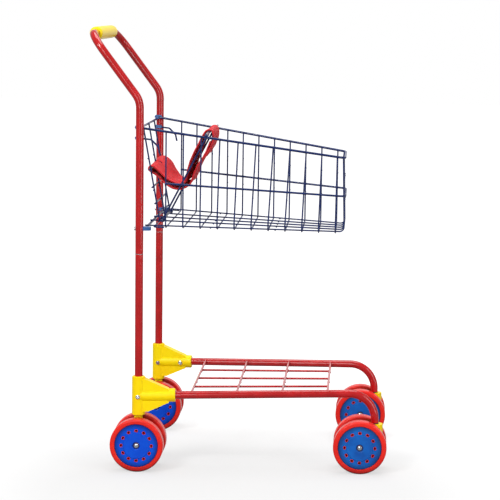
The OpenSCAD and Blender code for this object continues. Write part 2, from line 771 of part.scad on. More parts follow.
// Places its children, drawn on the right-hand side from the uprights, on the given side
module mirrored(side) {
    from_uprights() mirror([0, side > 0 ? 1 : 0, 0]) children();
}

module clip_screws() {
    color("silver") for (side = [-1, 1]) at_upright(side)
        translate([-tube_r - 0.2, 0, bar_h]) rotate([0, -90, 0]) screw(tube_r + 12, clip_screw_r, 2.8);
}

// Short wires that hook forward from the uprights, below the rim
module rim_hooks() {
    color("navy") for (side = [-1, 1]) mirrored(side) wire(hook_points, [4, 4], hook_r);
}

// ---------- Doll seat ----------

// The gate's plane: Z runs up the gate from the hinge rod, -X is behind it
module in_gate() {
    from_uprights() translate([vertex_x, 0, vertex_z]) rotate([0, -gate_lean, 0]) children();
}

// The seat back's plane: Z runs up the seat back from the hinge rod
module in_seat() {
    from_uprights() translate([vertex_x, 0, vertex_z]) rotate([0, seat_lean, 0]) children();
}

module gate_top_rod() {
    end_y = side_y(gate_rod_x) + 1;
    color("navy") from_uprights()
        bar([gate_rod_x, -end_y, gate_rod_z], [gate_rod_x, end_y, gate_rod_z], hinge_r);
}

module gate_wires() {
    color("navy") in_gate() for (lane = [-0.5, 0, 0.5])
        translate([-wire_back, lane * gate_w, -1]) cylinder(h = gate_len, r = gate_wire_r);
}

module gate_rungs() {
    end_y = gate_w / 2 + gate_wire_r;
    color("navy") in_gate() for (h = rung_heights)
        bar([-rung_back, -end_y, h], [-rung_back, end_y, h], rung_r);
}

module seat_hinge_rod() {
    end_y = gate_w / 2 + 2;
    color("navy") in_gate() bar([0, -end_y, 0], [0, end_y, 0], hinge_r);
}

module seat_back() {
    eye_r = hinge_r + running_gap + eye_wall;
    rod_y = side_y(seat_rod_x) + rim_r + 1.5;
    color("navy") in_seat() {
        for (side = [-1, 1]) translate([0, side * seat_w / 2, 0]) {
            difference() {
                along_y(2 * seat_wire_r, eye_r);
                along_y(4 * seat_wire_r, hinge_r + running_gap);
            }
            translate([0, 0, eye_r - 1]) cylinder(h = seat_len - eye_r + 1, r = seat_wire_r - 0.05);
        }
        bar([0, -rod_y, seat_len], [0, rod_y, seat_len], seat_rod_r);
    }
}

// Round the rung and the top rod, and sagging between them: an endless band of fabric
function arc(centre, r, from, to, step) =
    [for (a = [from:step:to]) centre + r * [cos(a), sin(a)]];

module seat_sling() {
    rung = [vertex_x - rung_back * cos(gate_lean) - sling_rung_h * sin(gate_lean),
        vertex_z - rung_back * sin(gate_lean) + sling_rung_h * cos(gate_lean)];
    rod = [seat_rod_x, seat_rod_z];
    loose = free_gap + sling_t / 2;
    valley = [mix(rung.x, rod.x, 0.5), rung.y - 24];
    keel = valley + [3, -6.5];
    middle_line = concat(
        arc(rung, rung_r + loose, 290, 110, -30),
        [rung + [9, 5.5], rung + [15, 1], mix(rung, valley, 0.6) + [2, 0], mix(rung, valley, 0.83),
            valley, valley + [5, 3], mix(valley, rod, 0.35) + [0.5, 0], mix(valley, rod, 0.75) - [1, 0]],
        arc(rod, seat_rod_r + loose, 150, -30, -30),
        [rod + [3, -10], mix(rod, keel, 0.35) + [4, 0], mix(rod, keel, 0.7) + [4, -1],
            keel + [5, 2], keel, keel - [9, 0], mix(keel, rung, 0.5) + [-1, -4]]);
    color("red") from_uprights() translate([0, sling_w / 2, 0]) rotate([90, 0, 0]) difference() {
        linear_extrude(sling_w) difference() {
            offset(delta = sling_t / 2) polygon(middle_line);
            offset(delta = -sling_t / 2) polygon(middle_line);
        }
        // Slot that clears the gate's middle wire
        translate([rung.x - 10, rung.y - 12, sling_w / 2 - gate_wire_r - free_gap])
            cube([18, 24, 2 * (gate_wire_r + free_gap)]);
    }
}

handle_tube();
handle_grip();
upright(1);  // upright_left
upright(-1);  // upright_right
rear_joint(1);  // rear_joint_left
rear_joint(-1);  // rear_joint_right
joint_screws();
joint_nuts();
chassis_tube(1);  // chassis_tube_left
chassis_tube(-1);  // chassis_tube_right
rack_cross_wires();
rack_long_wires();
caster_plugs();
caster_stems();
caster_housing(1);  // caster_housing_left
caster_housing(-1);  // caster_housing_right
axle(false, 1);  // rear_axle_left
axle(false, -1);  // rear_axle_right
axle(true, 1);  // front_axle_left
axle(true, -1);  // front_axle_right
axle_caps(false, 1);  // rear_axle_caps_left
axle_caps(false, -1);  // rear_axle_caps_right
axle_caps(true, 1);  // front_axle_caps_left
axle_caps(true, -1);  // front_axle_caps_right
wheel(false, 1, 1);  // wheel_rear_left_outer
wheel(false, 1, -1);  // wheel_rear_left_inner
wheel(false, -1, 1);  // wheel_rear_right_inner
wheel(false, -1, -1);  // wheel_rear_right_outer
wheel(true, 1, 1);  // wheel_front_left_outer
wheel(true, 1, -1);  // wheel_front_left_inner
wheel(true, -1, 1);  // wheel_front_right_inner
wheel(true, -1, -1);  // wheel_front_right_outer
hub_cap(false, 1, 1);  // hub_cap_rear_left_outer
hub_cap(false, 1, -1);  // hub_cap_rear_left_inner
hub_cap(false, -1, 1);  // hub_cap_rear_right_inner
hub_cap(false, -1, -1);  // hub_cap_rear_right_outer
hub_cap(true, 1, 1);  // hub_cap_front_left_outer
hub_cap(true, 1, -1);  // hub_cap_front_left_inner
hub_cap(true, -1, 1);  // hub_cap_front_right_inner
hub_cap(true, -1, -1);  // hub_cap_front_right_outer
basket_rim();
basket_rail();
side_wires(1);  // side_wires_left
side_wires(-1);  // side_wires_right
floor_cross_wires();
floor_long_wires();
floor_rear_loop();
front_wires();
lower_bar();
bar_clips();
end_clips();
clip_screws();
rim_hooks();
gate_top_rod();
gate_wires();
gate_rungs();
seat_hinge_rod();
seat_back();
seat_sling();
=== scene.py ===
import json
import math

import bmesh
import bpy
from mathutils import Matrix, Vector, noise
from mathutils.bvhtree import BVHTree


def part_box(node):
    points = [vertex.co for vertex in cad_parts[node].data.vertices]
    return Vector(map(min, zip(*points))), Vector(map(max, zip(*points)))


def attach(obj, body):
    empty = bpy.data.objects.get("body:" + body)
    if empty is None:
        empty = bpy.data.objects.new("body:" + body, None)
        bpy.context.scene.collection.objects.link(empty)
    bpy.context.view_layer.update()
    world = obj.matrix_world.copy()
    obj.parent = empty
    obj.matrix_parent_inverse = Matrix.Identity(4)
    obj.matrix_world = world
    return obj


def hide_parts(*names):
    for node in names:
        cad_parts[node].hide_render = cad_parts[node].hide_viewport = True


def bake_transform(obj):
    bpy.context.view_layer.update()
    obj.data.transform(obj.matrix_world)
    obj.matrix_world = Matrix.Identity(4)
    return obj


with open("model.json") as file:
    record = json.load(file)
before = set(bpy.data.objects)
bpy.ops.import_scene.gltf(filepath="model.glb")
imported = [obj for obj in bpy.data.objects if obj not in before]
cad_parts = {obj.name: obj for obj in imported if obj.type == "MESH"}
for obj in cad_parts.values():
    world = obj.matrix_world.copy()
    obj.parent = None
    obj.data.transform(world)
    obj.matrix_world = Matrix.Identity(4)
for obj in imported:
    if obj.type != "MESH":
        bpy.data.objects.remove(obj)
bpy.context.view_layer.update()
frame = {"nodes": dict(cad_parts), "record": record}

MM = 0.001
scene = bpy.context.scene


# ---------- Camera ----------

CAMERA_PLACE = Vector((0.1622, -2.5246, 0.6143))
LENS = 134.3
TURN, TILT, ROLL = 0.0602, 0.1321, 0.0127


def make_camera():
    """Looks along +Y, turned a little to the left and tilted down on to the basket."""
    camera = bpy.data.objects.new("camera", bpy.data.cameras.new("camera"))
    scene.collection.objects.link(camera)
    camera.data.lens = LENS
    camera.data.sensor_width = 36.0
    camera.data.clip_end = 40.0
    across = Vector((math.cos(TURN), math.sin(TURN), 0.0))
    level = Vector((-math.sin(TURN), math.cos(TURN), 0.0))
    ahead = level * math.cos(TILT) - Vector((0, 0, 1)) * math.sin(TILT)
    above = Vector((0, 0, 1)) * math.cos(TILT) + level * math.sin(TILT)
    right = across * math.cos(ROLL) + above * math.sin(ROLL)
    up = above * math.cos(ROLL) - across * math.sin(ROLL)
    turned = Matrix((right, up, -ahead)).transposed().to_4x4()
    camera.matrix_world = Matrix.Translation(CAMERA_PLACE) @ turned
    scene.camera = camera


make_camera()


# ---------- Materials ----------

def linear(hex_text):
    """An sRGB colour such as "#B5171F", turned to linear RGBA."""
    values = [int(hex_text[i:i + 2], 16) / 255 for i in (1, 3, 5)]
    return [v / 12.92 if v <= 0.04045 else ((v + 0.055) / 1.055) ** 2.4 for v in values] + [1.0]


def add(tree, kind, links=None, **settings):
    """Adds a node with its settings. Each entry of links is a value or another node's output."""
    node = tree.nodes.new(kind)
    for name, value in settings.items():
        setattr(node, name, value)
    for name, value in (links or {}).items():
        if isinstance(value, bpy.types.NodeSocket):
            tree.links.new(value, node.inputs[name])
        else:
            node.inputs[name].default_value = value
    return node


def blank(name):
    """An empty node tree, and its material's own coordinates counted in millimetres."""
    material = bpy.data.materials.new(name)
    material.use_nodes = True
    tree = material.node_tree
    tree.nodes.clear()
    place = add(tree, "ShaderNodeTexCoord").outputs["Object"]
    in_mm = add(tree, "ShaderNodeVectorMath", {0: place, "Scale": 1000.0}, operation="SCALE")
    return material, tree, in_mm.outputs["Vector"]


def shade(tree, **inputs):
    """Closes the tree with a Principled shader."""
    links = {name.replace("_", " "): value for name, value in inputs.items()}
    shader = add(tree, "ShaderNodeBsdfPrincipled", links)
    add(tree, "ShaderNodeOutputMaterial", {"Surface": shader.outputs["BSDF"]})


def stepped(tree, factor, low, high, start=0.0, end=1.0):
    """A number or colour that goes from low to high as factor goes from start to end."""
    ramp = add(tree, "ShaderNodeValToRGB", {"Fac": factor})
    ramp.color_ramp.elements[0].position = start
    ramp.color_ramp.elements[1].position = end
    for element, value in zip(ramp.color_ramp.elements, (low, high)):
        element.color = value if isinstance(value, list) else [value, value, value, 1.0]
    return ramp.outputs["Color"]


def stove_enamel_red():
    """Glossy red stove enamel on steel tube: deep colour, a clear skin, faint orange peel 1.5 mm across."""
    material, tree, mm = blank("stove_enamel_red")
    cloud = add(tree, "ShaderNodeTexNoise", {"Vector": mm, "Scale": 0.05, "Detail": 3.0})
    peel = add(tree, "ShaderNodeTexNoise", {"Vector": mm, "Scale": 1 / 1.5, "Detail": 2.0})
    bump = add(tree, "ShaderNodeBump",
               {"Height": peel.outputs["Fac"], "Strength": 0.1, "Distance": 0.02 * MM})
    shade(tree,
          Base_Color=stepped(tree, cloud.outputs["Fac"], linear("#AC070B"), linear("#BE0A10"), 0.35, 0.65),
          Roughness=stepped(tree, cloud.outputs["Fac"], 0.16, 0.24, 0.3, 0.7),
          Coat_Weight=0.3, Coat_Roughness=0.05, Normal=bump.outputs["Normal"])
    return material


def dipped_wire_blue():
    """Navy plastic dip coat on steel wire: glossy, and slightly uneven along the wire every 3 mm or so."""
    material, tree, mm = blank("dipped_wire_blue")
    run = add(tree, "ShaderNodeTexNoise", {"Vector": mm, "Scale": 1 / 3.0, "Detail": 2.0})
    bump = add(tree, "ShaderNodeBump",
               {"Height": run.outputs["Fac"], "Strength": 0.4, "Distance": 0.1 * MM})
    shade(tree,
          Base_Color=stepped(tree, run.outputs["Fac"], linear("#061846"), linear("#0A2868"), 0.3, 0.7),
          Roughness=stepped(tree, run.outputs["Fac"], 0.22, 0.36, 0.3, 0.7),
          Specular_IOR_Level=0.35, Coat_Weight=0.15, Coat_Roughness=0.1, Normal=bump.outputs["Normal"])
    return material


# Used only for painted shade: corners and disc rims darkened as if in shadow.
def darkened_by_painted_shade(tree, colour, share):
    """A colour darkened to the given share."""
    return add(tree, "ShaderNodeVectorMath", {0: colour, 1: share}, operation="MULTIPLY").outputs["Vector"]


def moulded_plastic(name, dark, bright, roughness, grain_mm, painted_shade_mm=0.0, specular=0.5, rim=0.0):
    """Injection-moulded plastic: fine spark-eroded grain and a slow drift of colour from the melt.
    Painted shade, by ambient occlusion, darkens corners narrower than the given millimetres, and painted
    shade darkens the rim of a disc that turns about Y."""
    material, tree, mm = blank(name)
    flow = add(tree, "ShaderNodeTexNoise", {"Vector": mm, "Scale": 0.06, "Detail": 2.0})
    grain = add(tree, "ShaderNodeTexNoise", {"Vector": mm, "Scale": 1 / grain_mm, "Detail": 3.0})
    bump = add(tree, "ShaderNodeBump",
               {"Height": grain.outputs["Fac"], "Strength": 0.25, "Distance": 0.03 * MM})
    colour = stepped(tree, flow.outputs["Fac"], linear(dark), linear(bright), 0.3, 0.7)
    if painted_shade_mm:
        # Painted shade: narrow corners, and the gap between twin wheels, are darkened by ambient occlusion.
        shade_occlusion = add(tree, "ShaderNodeAmbientOcclusion", {"Distance": painted_shade_mm * MM}, samples=6)
        colour = darkened_by_painted_shade(tree, colour, stepped(tree, shade_occlusion.outputs["AO"], 0.15, 1.0, 0.25, 0.9))
    if rim:
        # Painted shade: the outer rim of the disc is darkened as if shaded by the recess around it.
        across = add(tree, "ShaderNodeTexCoord").outputs["Generated"]
        flat = add(tree, "ShaderNodeVectorMath", {0: across, 1: (1.0, 0.0, 1.0)}, operation="MULTIPLY")
        out = add(tree, "ShaderNodeVectorMath", {0: flat.outputs["Vector"], 1: (0.5, 0.0, 0.5)},
                  operation="DISTANCE")
        colour = darkened_by_painted_shade(tree, colour, stepped(tree, out.outputs["Value"], 1.0, rim, 0.38, 0.5))
    shade(tree,
          Base_Color=colour,
          Roughness=stepped(tree, grain.outputs["Fac"], roughness - 0.06, roughness + 0.08, 0.3, 0.7),
          Specular_IOR_Level=specular, Normal=bump.outputs["Normal"])
    return material


def bright_plated_steel():
    """Bright zinc plate on screws and axle caps, with fine barrel-polishing marks."""
    material, tree, mm = blank("bright_plated_steel")
    marks = add(tree, "ShaderNodeTexNoise", {"Vector": mm, "Scale": 1 / 0.4, "Detail": 4.0})
    bump = add(tree, "ShaderNodeBump",
               {"Height": marks.outputs["Fac"], "Strength": 0.2, "Distance": 0.02 * MM})
    shade(tree,
          Base_Color=linear("#DADCE0"), Metallic=1.0,
          Roughness=stepped(tree, marks.outputs["Fac"], 0.10, 0.24, 0.3, 0.7),
          Normal=bump.outputs["Normal"])
    return material


# A wave texture's scale for bands one millimetre apart: straight, and along a diagonal of two axes.
BANDS_1_MM = 0.314
DIAGONAL_1_MM = 0.222


def woven_polyester(name, dark, bright, thread_mm):
    """Plain-weave polyester webbing: soft, slightly shiny threads. They are drawn 0.9 mm apart, about
    twice as coarse as real ones, so that they show."""
    material, tree, mm = blank(name)
    across = add(tree, "ShaderNodeTexWave", {"Vector": mm, "Scale": BANDS_1_MM / thread_mm},
                 wave_type="BANDS", bands_direction="Y")
    along = add(tree, "ShaderNodeTexWave", {"Vector": mm, "Scale": DIAGONAL_1_MM / thread_mm},
                wave_type="BANDS", bands_direction="DIAGONAL")
    weave = add(tree, "ShaderNodeMath", {0: across.outputs["Fac"], 1: along.outputs["Fac"]},
                operation="MULTIPLY")
    fade = add(tree, "ShaderNodeTexNoise", {"Vector": mm, "Scale": 0.12, "Detail": 4.0})
    mixed = add(tree, "ShaderNodeMath", {0: weave.outputs[0], 1: fade.outputs["Fac"]}, operation="ADD")
    bump = add(tree, "ShaderNodeBump", {"Height": weave.outputs[0], "Strength": 0.6, "Distance": 0.25 * MM})
    shade(tree,
          Base_Color=stepped(tree, mixed.outputs[0], linear(dark), linear(bright), 0.3, 1.2),
          Roughness=0.72, Sheen_Weight=0.12, Sheen_Roughness=0.4, Sheen_Tint=linear("#FF8A86"),
          Subsurface_Weight=0.35, Subsurface_Radius=[3 * MM, 0.4 * MM, 0.4 * MM], Subsurface_Scale=1.0,
          Normal=bump.outputs["Normal"])
    return material


HOOK_PITCH = 1.2  # millimetres, about twice as coarse as real hooks


def brushed_nylon_hooks():
    """The hook half of a hook-and-loop fastener: rows of stiff nylon hooks, drawn 1.2 mm apart."""
    material, tree, mm = blank("brushed_nylon_hooks")
    rows = add(tree, "ShaderNodeTexWave", {"Vector": mm, "Scale": BANDS_1_MM / HOOK_PITCH},
               wave_type="BANDS", bands_direction="Y")
    tufts = add(tree, "ShaderNodeTexVoronoi", {"Vector": mm, "Scale": 1 / HOOK_PITCH})
    pile = add(tree, "ShaderNodeMath", {0: rows.outputs["Fac"], 1: tufts.outputs["Distance"]},
               operation="MULTIPLY")
    bump = add(tree, "ShaderNodeBump", {"Height": pile.outputs[0], "Strength": 0.9, "Distance": 0.4 * MM})
    shade(tree,
          Base_Color=stepped(tree, pile.outputs[0], linear("#A8A0A0"), linear("#ECE6E6"), 0.1, 0.9),
          Roughness=0.8, Sheen_Weight=0.2, Sheen_Roughness=0.5, Normal=bump.outputs["Normal"])
    return material


FINISHES = {
    "frame_paint": stove_enamel_red(),
    "wire_paint": dipped_wire_blue(),
    "joint_plastic": moulded_plastic("moulded_abs_yellow", "#FFDA00", "#FFE200", 0.34, 0.5, 0.0, 0.2),
    # The wheels and caps paint shade: the sixth argument darkens corners by ambient occlusion (26 mm
    # darkens the inner twin wheels), and the caps' last argument darkens their rim.
    "wheel_plastic": moulded_plastic("moulded_pp_red", "#E01C14", "#EE281C", 0.3, 0.6, 26.0, 0.35),
    "cap_plastic": moulded_plastic("moulded_pp_blue", "#0045CC", "#0052D8", 0.36, 0.5, 5.0, 0.2, 0.35),
    "clip_plastic": moulded_plastic("moulded_nylon_blue", "#1C4A8C", "#3068A4", 0.3, 0.6),
    "plug_plastic": moulded_plastic("moulded_nylon_black", "#17181A", "#222326", 0.45, 0.6),
    "chrome_steel": bright_plated_steel(),
    "sling_fabric": woven_polyester("woven_polyester_red", "#B40A1A", "#E41E2C", 0.9),
}
# The worn caps carry the same painted shade in corners and at the rim as the other caps.
WORN_CAP = moulded_plastic("moulded_pp_blue_worn", "#0050A8", "#0065C2", 0.42, 0.5, 5.0, 0.3, 0.35)
THREAD = moulded_plastic("polyester_thread_red", "#E8454A", "#F4666A", 0.6, 0.4)
HOOKS = brushed_nylon_hooks()


def finish_cad_nodes():
    """Gives each CAD node its slot's finish. The caps of the casters, which turn most, are worn duller."""
    slots = {part["node"]: part["material_slot"] for part in frame["record"]["subparts"]}
    for name, node in frame["nodes"].items():
        node.data.materials.clear()
        worn = name.startswith("hub_cap_front")
        node.data.materials.append(WORN_CAP if worn else FINISHES[slots[name]])


finish_cad_nodes()


# ---------- Doll seat sling ----------

# Millimetres: the strip's width, its hem's thickness and width, half of its slit's width, and how far
# from the rung the slit reaches.
SLING_W = 92.0
SLING_T = 1.1
HEM_W = 5.0
SLIT_HALF = 1.7
SLIT_REACH = 13


def corner(node, x_end, z_end, inset):
    """(x, z) in millimetres of a rod that runs along Y at an end of the node's box."""
    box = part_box(node)
    sign_x, sign_z = (1 if x_end else -1), (1 if z_end else -1)
    return Vector((box[x_end].x / MM - sign_x * inset, box[z_end].z / MM - sign_z * inset))


RUNG_R, ROD_R = 1.2, 1.5
RUNG = corner("gate_rungs", 0, 1, RUNG_R)
ROD = corner("seat_back", 1, 1, ROD_R)

# The strip's middle line as (x, z) steps, on the cart's right and left: from its loose tail over the
# seat back's top rod, down to the gate's rung, round it, and back under to the rod. Distances are from
# the rod, then from the rung, then from the rod again. On the left the slack stands up in a fold.
OVER_ROD_RIGHT = [(-5.6, -34), (-2.2, -28), (2.8, -19), (5.4, -9), (4.4, 0.8), (0, 3.4), (-5, 0.8),
                  (-9.4, -6.4), (-15.2, -17.5), (-21.9, -31), (-26.6, -46), (-29, -57)]
OVER_ROD_LEFT = [(-5.6, -34), (-2.2, -28), (2.8, -19), (5.4, -9), (4.4, 0.8), (0, 3.4), (-4.6, 0.8),
                 (-7.6, -6.4), (-12.2, -17.5), (-18, -31), (-22.4, -46), (-24.6, -57)]
ROUND_RUNG_RIGHT = [(46, -17.3), (38.4, -20), (30, -17.7), (21.6, -12.9), (11.1, -4), (3.6, 2.7), (0, 3),
                    (-2.6, 1.2), (-2.9, -1.4), (-0.6, -3.8), (9, -9.9), (18.1, -18.4), (23.8, -23),
                    (30.1, -26), (36.4, -27.3), (45, -25.4), (52.5, -19.6)]
ROUND_RUNG_LEFT = [(46, -18.6), (37.4, -20), (30.5, -16.6), (24.6, -8), (19.4, 1), (12.6, 7.2), (6.6, 9.2),
                   (0.6, 6.6), (-2.8, 0.6), (-0.6, -4), (9, -8.6), (18.1, -15.6), (24.6, -20),
                   (31.1, -23.4), (37.4, -25), (45, -24), (52.5, -19.2)]
BACK_UP_TO_ROD = [(-17.4, -50), (-11.9, -40), (-6.4, -30.5), (-1, -20), (1.6, -12)]


def smooth(points, each=8):
    """Points along a smooth curve through the given ones, so many on each stretch."""
    ends = [points[0] * 2 - points[1]] + points + [points[-1] * 2 - points[-2]]
    out = []
    for a, b, c, d in zip(ends, ends[1:], ends[2:], ends[3:]):
        for i in range(each):
            t = i / each
            out.append(0.5 * (2 * b + (c - a) * t + (2 * a - 5 * b + 4 * c - d) * t * t
                              + (3 * b - a - 3 * c + d) * t ** 3))
    return out + [points[-1]]


def strip_line(over_rod, round_rung):
    """One edge's route as smoothed points, in millimetres."""
    return smooth([ROD + Vector(p) for p in over_rod] + [RUNG + Vector(p) for p in round_rung]
                  + [ROD + Vector(p) for p in BACK_UP_TO_ROD])


RIGHT_LINE = strip_line(OVER_ROD_RIGHT, ROUND_RUNG_RIGHT)
LEFT_LINE = strip_line(OVER_ROD_LEFT, ROUND_RUNG_LEFT)
STATIONS = len(RIGHT_LINE)


def on_line(i, y):
    """The strip's middle line at station i, y millimetres to the cart's left."""
    t = min(1.0, max(0.0, y / SLING_W + 0.5))
    return RIGHT_LINE[i].lerp(LEFT_LINE[i], t * t * (3 - 2 * t))


# Millimetres: how deep the seat sags and how far that reaches, how deep the creases are, and how far
# from the rod and the rung they are free to be so.
BELLY, BELLY_REACH = 1.6, 26
CREASE, FREE_FROM = 0.8, 24.0


def sling_point(i, y, lift=0.0):
    """A point of the sling in metres, with the belly and the creases that use gives it."""
    p = on_line(i, y)
    ahead = on_line(min(i + 1, STATIONS - 1), y) - on_line(max(i - 1, 0), y)
    left = Vector((-ahead.y, ahead.x)).normalized()
    free = min(1.0, min((p - RUNG).length, (p - ROD).length) / FREE_FROM)
    middle = (RUNG.x + ROD.x) / 2
    belly = BELLY * math.cos(y / SLING_W * math.pi) * max(0.0, 1 - abs(p.x - middle) / BELLY_REACH)
    crease = (noise.noise(Vector((p.x / 13, y / 24, p.y / 13)))
              + 0.5 * noise.noise(Vector((p.x / 6, y / 10, p.y / 6))))
    q = p + left * (lift + CREASE * crease * free)
    return Vector((q.x, y, q.y - belly)) * MM


def mesh_piece(name, verts, faces, material):
    """A mesh object in the CAD frame."""
    mesh = bpy.data.meshes.new(name)
    mesh.from_pydata([tuple(v) for v in verts], [], faces)
    mesh.materials.append(material)
    mesh.shade_smooth()
    mesh.update()
    piece = bpy.data.objects.new(name, mesh)
    scene.collection.objects.link(piece)
    return piece


def apply_modifiers(piece):
    """Bakes a piece's modifiers into its mesh."""
    graph = bpy.context.evaluated_depsgraph_get()
    mesh = bpy.data.meshes.new_from_object(piece.evaluated_get(graph))
    piece.modifiers.clear()
    piece.data = mesh


def make_sling():
    """One strip of webbing with turned hems, slit where the gate's middle wire passes."""
    half = SLING_W / 2
    inner = [-half + HEM_W, -SLIT_HALF, SLIT_HALF, half - HEM_W]
    panel = half - HEM_W - SLIT_HALF
    columns = sorted([-half, half, *inner]
                     + [s * (SLIT_HALF + panel * i / 14) for i in range(1, 14) for s in (-1, 1)]
                     + [s * (half - HEM_W * i / 3) for i in (1, 2) for s in (-1, 1)])
    verts = [sling_point(i, y) for i in range(STATIONS) for y in columns]
    n = len(columns)
    faces = []
    for i in range(STATIONS - 1):
        p = on_line(i, 0.0)
        near_gate = (p - RUNG).length < SLIT_REACH and p.x < RUNG.x + SLIT_REACH - 2
        for j in range(n - 1):
            if near_gate and abs(columns[j] + columns[j + 1]) < 0.01:
                continue
            a = i * n + j
            faces.append((a, a + 1, a + n + 1, a + n))
    sling = mesh_piece("sling", verts, faces, FINISHES["sling_fabric"])
    hem = sling.vertex_groups.new(name="hem")
    for j, y in enumerate(columns):
        thick = 1.0 if abs(y) > half - HEM_W + 0.1 else 0.5
        hem.add([i * n + j for i in range(STATIONS)], thick, "REPLACE")
    solidify = sling.modifiers.new("thickness", "SOLIDIFY")
    solidify.thickness = 2 * SLING_T * MM
    solidify.offset = 0.0
    solidify.vertex_group = "hem"
    subdivide = sling.modifiers.new("round", "SUBSURF")
    subdivide.levels = subdivide.render_levels = 1
    apply_modifiers(sling)
    return sling


def closed_strand(verts, faces, path, side, radius, sides=6):
    """Adds a round closed strand through the path's points, in metres, to verts and faces."""
    run = (path[-1] - path[0]).normalized()
    out = run.cross(side)
    start = len(verts)
    for k, p in enumerate(path):
        swell = radius * (0.3 if k in (0, len(path) - 1) else 1.0)
        for m in range(sides):
            turn = 2 * math.pi * m / sides
            verts.append(p + (side * math.cos(turn) + out * math.sin(turn)) * swell)
    for ring in range(len(path) - 1):
        for m in range(sides):
            p, q = start + ring * sides + m, start + ring * sides + (m + 1) % sides
            faces.append((p, q, q + sides, p + sides))
    last = start + (len(path) - 1) * sides
    faces.append(tuple(start + m for m in reversed(range(sides))))
    faces.append(tuple(last + m for m in range(sides)))


# Millimetres: half a stitch's length, its thread's radius, and the spacing along the hems and across
# the tail. The tail's two rows stand at these stations of the strip, with so many stitches in each.
STITCH_HALF, THREAD_R = 1.3, 0.2
HEM_PITCH, TAIL_PITCH = 3.6, 3.4
TAIL_ROWS = (3, 13)
TAIL_COUNT = 24


def make_stitches():
    """A row of lock stitches along each hem and two across the tail, on both faces."""
    verts, faces = [], []
    length, radius = STITCH_HALF * MM, THREAD_R * MM
    along = [-1, -0.7, 0.7, 1]
    for y in (-SLING_W / 2 + HEM_W - 1, SLING_W / 2 - HEM_W + 1):
        at, last = 0.0, sling_point(0, y)
        for i in range(1, STATIONS):
            p = sling_point(i, y)
            at += (p - last).length
            last = p
            if at < HEM_PITCH * MM or i > STATIONS - 3:
                continue
            at = 0.0
            for face in (-1, 1):
                a = sling_point(i, y, face * SLING_T * 0.95)
                b = sling_point(i + 1, y, face * SLING_T * 0.95)
                run = (b - a).normalized()
                closed_strand(verts, faces, [(a + b) / 2 + run * length * k for k in along],
                              Vector((0, 1, 0)), radius)
    for i in TAIL_ROWS:
        for step in range(TAIL_COUNT):
            y = -SLING_W / 2 + HEM_W + TAIL_PITCH * (step + 0.5)
            for face in (-1, 1):
                a = sling_point(i, y, face * SLING_T * 0.5)
                side = (sling_point(i + 1, y) - a).normalized()
                closed_strand(verts, faces, [a + Vector((0, 1, 0)) * length * k for k in along],
                              side, radius)
    return mesh_piece("sling_stitches", verts, faces, THREAD)


# How far the pad's two faces stand off the tail's middle, in millimetres.
PAD_FACES = (2.6, 0.4)


def make_hook_patch():
    """The hook-and-loop pad that holds the tail to the strip behind it."""
    rows, half = 12, SLING_W / 2 - HEM_W - 3
    columns = [-half + 2 * half * k / 20 for k in range(21)]
    verts = [sling_point(i, y, lift) for lift in PAD_FACES for i in range(1, rows) for y in columns]
    n, layer = len(columns), (rows - 1) * len(columns)
    faces = []
    for i in range(rows - 2):
        for j in range(n - 1):
            a = i * n + j
            faces.append((a, a + n, a + n + 1, a + 1))
            faces.append((layer + a, layer + a + 1, layer + a + n + 1, layer + a + n))
    rim = (list(range(n)) + [i * n + n - 1 for i in range(1, rows - 1)]
           + [(rows - 2) * n + j for j in reversed(range(n - 1))]
           + [i * n for i in reversed(range(1, rows - 2))])
    for a, b in zip(rim, rim[1:] + rim[:1]):
        faces.append((a, b, layer + b, layer + a))
    return mesh_piece("sling_hook_patch", verts, faces, HOOKS)


def fit_sling():
    """The sling with its trims, bent between the gate and the seat back, in place of the CAD's one."""
    sling = make_sling()
    trims = [make_stitches(), make_hook_patch()]
    for piece in [sling, *trims]:
        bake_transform(piece)
    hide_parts("seat_sling")


fit_sling()


# ---------- Beads of paint at the welds ----------

def surface(node):
    """A search tree of a node's faces."""
    mesh = frame["nodes"][node].data
    return BVHTree.FromPolygons([v.co for v in mesh.vertices], [p.vertices for p in mesh.polygons])


def crossings(first, second, apart):
    """Middles of the places where two nodes sink into each other."""
    mesh = frame["nodes"][first].data
    spots = []
    for face, _ in surface(first).overlap(surface(second)):
        p = mesh.polygons[face].center
        near = [s for s in spots if (s[0] / s[1] - p).length < apart]
        if near:
            near[0][0] += p
            near[0][1] += 1
        else:
            spots.append([p.copy(), 1])
    return [total / count for total, count in spots]


WELD_APART = 4.0  # millimetres: crossings nearer than this are one weld
UNEVEN = 0.22     # how far a bead strays from a ball


def make_beads(name, pairs, radius, material):
    """A small uneven bead of paint, radius in millimetres, at every weld of each pair of nodes."""
    verts, faces = [], []
    ball = bmesh.new()
    bmesh.ops.create_icosphere(ball, subdivisions=2, radius=1.0)
    shape = [v.co.copy() for v in ball.verts]
    corners = [[v.index for v in f.verts] for f in ball.faces]
    ball.free()
    for first, second in pairs:
        for spot in crossings(first, second, WELD_APART * MM):
            start = len(verts)
            for v in shape:
                swell = 1 + UNEVEN * noise.noise(v * 1.3 + spot / MM)
                verts.append(spot + v * radius * MM * swell)
            faces += [[start + c for c in corner] for corner in corners]
    return mesh_piece(name, verts, faces, material)


BASKET_WELDS = [("side_wires_left", "basket_rim"), ("side_wires_right", "basket_rim"),
                ("side_wires_left", "basket_rail"), ("side_wires_right", "basket_rail"),
                ("front_wires", "basket_rim"), ("front_wires", "basket_rail"),
                ("floor_long_wires", "floor_cross_wires"), ("floor_long_wires", "floor_rear_loop"),
                ("floor_long_wires", "lower_bar"), ("gate_wires", "gate_rungs"),
                ("gate_wires", "gate_top_rod")]
RACK_WELDS = [("rack_long_wires", "rack_cross_wires"), ("rack_cross_wires", "chassis_tube_left"),
              ("rack_cross_wires", "chassis_tube_right")]


def weld(name, pairs, radius, slot):
    """Beads between still parts of the cart."""
    beads = make_beads(name, pairs, radius, FINISHES[slot])
    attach(beads, "root")


